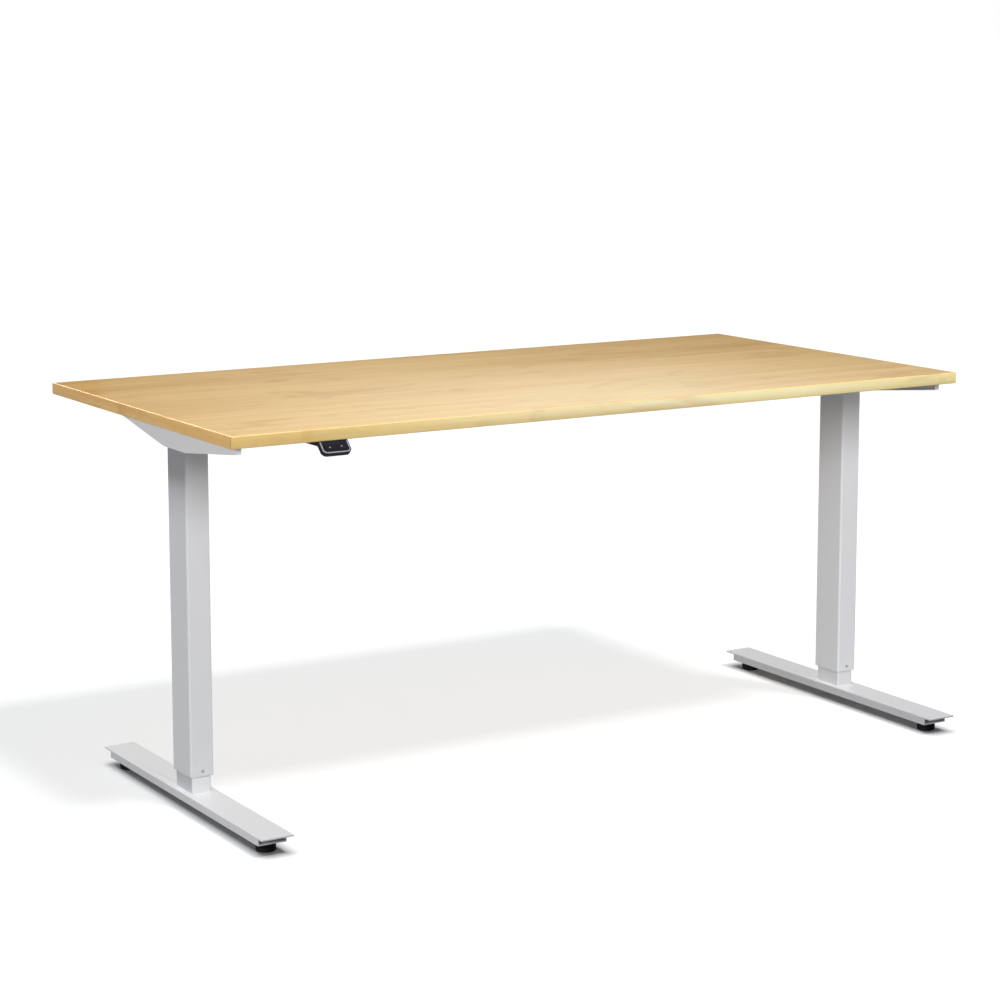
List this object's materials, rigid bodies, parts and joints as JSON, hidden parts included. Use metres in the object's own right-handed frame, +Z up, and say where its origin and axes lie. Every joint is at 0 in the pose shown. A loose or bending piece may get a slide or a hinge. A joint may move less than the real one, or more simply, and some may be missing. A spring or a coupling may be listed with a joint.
{
  "type": "height adjustable standing desk",
  "caption": "Rectangular wood-faced top on two telescopic powder-coated columns with flat feet, side arms, beam, drives and an up-and-down handset.",
  "frame": {"origin": "on the floor under the centre of the whole desk's outline, levelling pads at z = 0", "axes": "+X along the length of the top, -Y the user's side, +Z up"},
  "size_m": [1.6, 0.846, 0.727],
  "materials": {
    "tabletop_laminate": "satin maple melamine facing, grain along the length",
    "edge_lipping": "satin maple edge lipping",
    "frame_powder_coat": "fine-textured silver grey powder coat",
    "zinc_steel": "bright zinc plate",
    "zinc_plate": "plain zinc-plated sheet",
    "slide_plastic": "natural acetal",
    "cast_housing": "as cast",
    "motor_can": "satin black",
    "pad_plastic": "moulded black",
    "box_plastic": "fine-grained black",
    "circuit_board": "solder mask",
    "handset_plastic": "fine-grained black",
    "handset_silver": "silver painted rim",
    "handset_gloss": "dark smooth face"
  },
  "bodies": {
    "left_leg": {"foot_plate_left": "frame_powder_coat", "foot_channel_left": "frame_powder_coat", "foot_bolts_left": "zinc_steel", "column_base_left": "zinc_steel", "inner_tube_left": "frame_powder_coat", "nut_carrier_left": "zinc_steel", "spindle_nut_left": "slide_plastic", "inner_guide_left": "slide_plastic"},
    "leveller_front_left": {"leveller_front_left": "pad_plastic"},
    "leveller_rear_left": {"leveller_rear_left": "pad_plastic"},
    "top_frame": {"tabletop_board": "tabletop_laminate", "edge_banding": "edge_lipping", "side_bracket_left": "frame_powder_coat", "side_bracket_right": "frame_powder_coat", "head_plate_left": "frame_powder_coat", "head_plate_right": "frame_powder_coat", "outer_tube_left": "frame_powder_coat", "outer_tube_right": "frame_powder_coat", "outer_guide_left": "slide_plastic", "outer_guide_right": "slide_plastic", "gearbox_left": "cast_housing", "gearbox_right": "cast_housing", "thrust_bearing_left": "zinc_steel", "thrust_bearing_right": "zinc_steel", "motor_left": "motor_can", "motor_right": "motor_can", "beam_end_left": "frame_powder_coat", "beam_end_right": "frame_powder_coat", "centre_rail_front": "frame_powder_coat", "centre_rail_rear": "frame_powder_coat", "guide_screws": "zinc_steel", "head_bolts": "zinc_steel", "board_screws": "zinc_steel", "clamp_screws": "zinc_steel", "control_box_case": "box_plastic", "control_box_lid": "zinc_plate", "control_sockets": "box_plastic", "mains_inlet": "box_plastic", "control_board": "circuit_board", "box_screws": "zinc_steel", "handset_housing": "handset_plastic", "handset_bezel": "handset_silver", "handset_face": "handset_gloss", "handset_board": "circuit_board", "handset_screws": "zinc_steel"},
    "spindle_left": {"spindle_left": "zinc_steel"},
    "spindle_right": {"spindle_right": "zinc_steel"},
    "right_leg": {"foot_plate_right": "frame_powder_coat", "foot_channel_right": "frame_powder_coat", "foot_bolts_right": "zinc_steel", "column_base_right": "zinc_steel", "inner_tube_right": "frame_powder_coat", "nut_carrier_right": "zinc_steel", "spindle_nut_right": "slide_plastic", "inner_guide_right": "slide_plastic"},
    "leveller_front_right": {"leveller_front_right": "pad_plastic"},
    "leveller_rear_right": {"leveller_rear_right": "pad_plastic"},
    "button_up": {"button_up": "handset_gloss"},
    "button_down": {"button_down": "handset_gloss"}
  },
  "joints": [
    {"name": "lift_left", "type": "slide", "parent": "left_leg", "child": "top_frame", "axis": [0, 0, 1], "range_m": [0, 0.46]},
    {"name": "lift_right", "type": "slide", "parent": "top_frame", "child": "right_leg", "axis": [0, 0, -1], "range_m": [0, 0.46]},
    {"name": "spindle_turn_left", "type": "hinge", "parent": "top_frame", "child": "spindle_left", "pos_m": [-0.745, -0.081, 0.4], "axis": [0, 0, 1], "range_deg": [0, 13810]},
    {"name": "level_front_left", "type": "slide", "parent": "left_leg", "child": "leveller_front_left", "axis": [0, 0, -1], "range_m": [0, 0.008]},
    {"name": "level_rear_left", "type": "slide", "parent": "left_leg", "child": "leveller_rear_left", "axis": [0, 0, -1], "range_m": [0, 0.008]},
    {"name": "spindle_turn_right", "type": "hinge", "parent": "top_frame", "child": "spindle_right", "pos_m": [0.745, -0.081, 0.4], "axis": [0, 0, 1], "range_deg": [0, 13810]},
    {"name": "level_front_right", "type": "slide", "parent": "right_leg", "child": "leveller_front_right", "axis": [0, 0, -1], "range_m": [0, 0.008]},
    {"name": "level_rear_right", "type": "slide", "parent": "right_leg", "child": "leveller_rear_right", "axis": [0, 0, -1], "range_m": [0, 0.008]},
    {"name": "press_up", "type": "slide", "parent": "top_frame", "child": "button_up", "axis": [0, 0.7071, -0.7071], "range_m": [0, 0.0008], "stiffness_N_per_m": 1200, "springref_m": -0.0004},
    {"name": "press_down", "type": "slide", "parent": "top_frame", "child": "button_down", "axis": [0, 0.7071, -0.7071], "range_m": [0, 0.0008], "stiffness_N_per_m": 1200, "springref_m": -0.0004}
  ],
  "couplings": [
    {"joint": "lift_right", "follows": "lift_left", "ratio": 1},
    {"joint": "spindle_turn_left", "follows": "lift_left", "rad_per_m": 523.6},
    {"joint": "spindle_turn_right", "follows": "lift_left", "rad_per_m": 523.6}
  ]
}
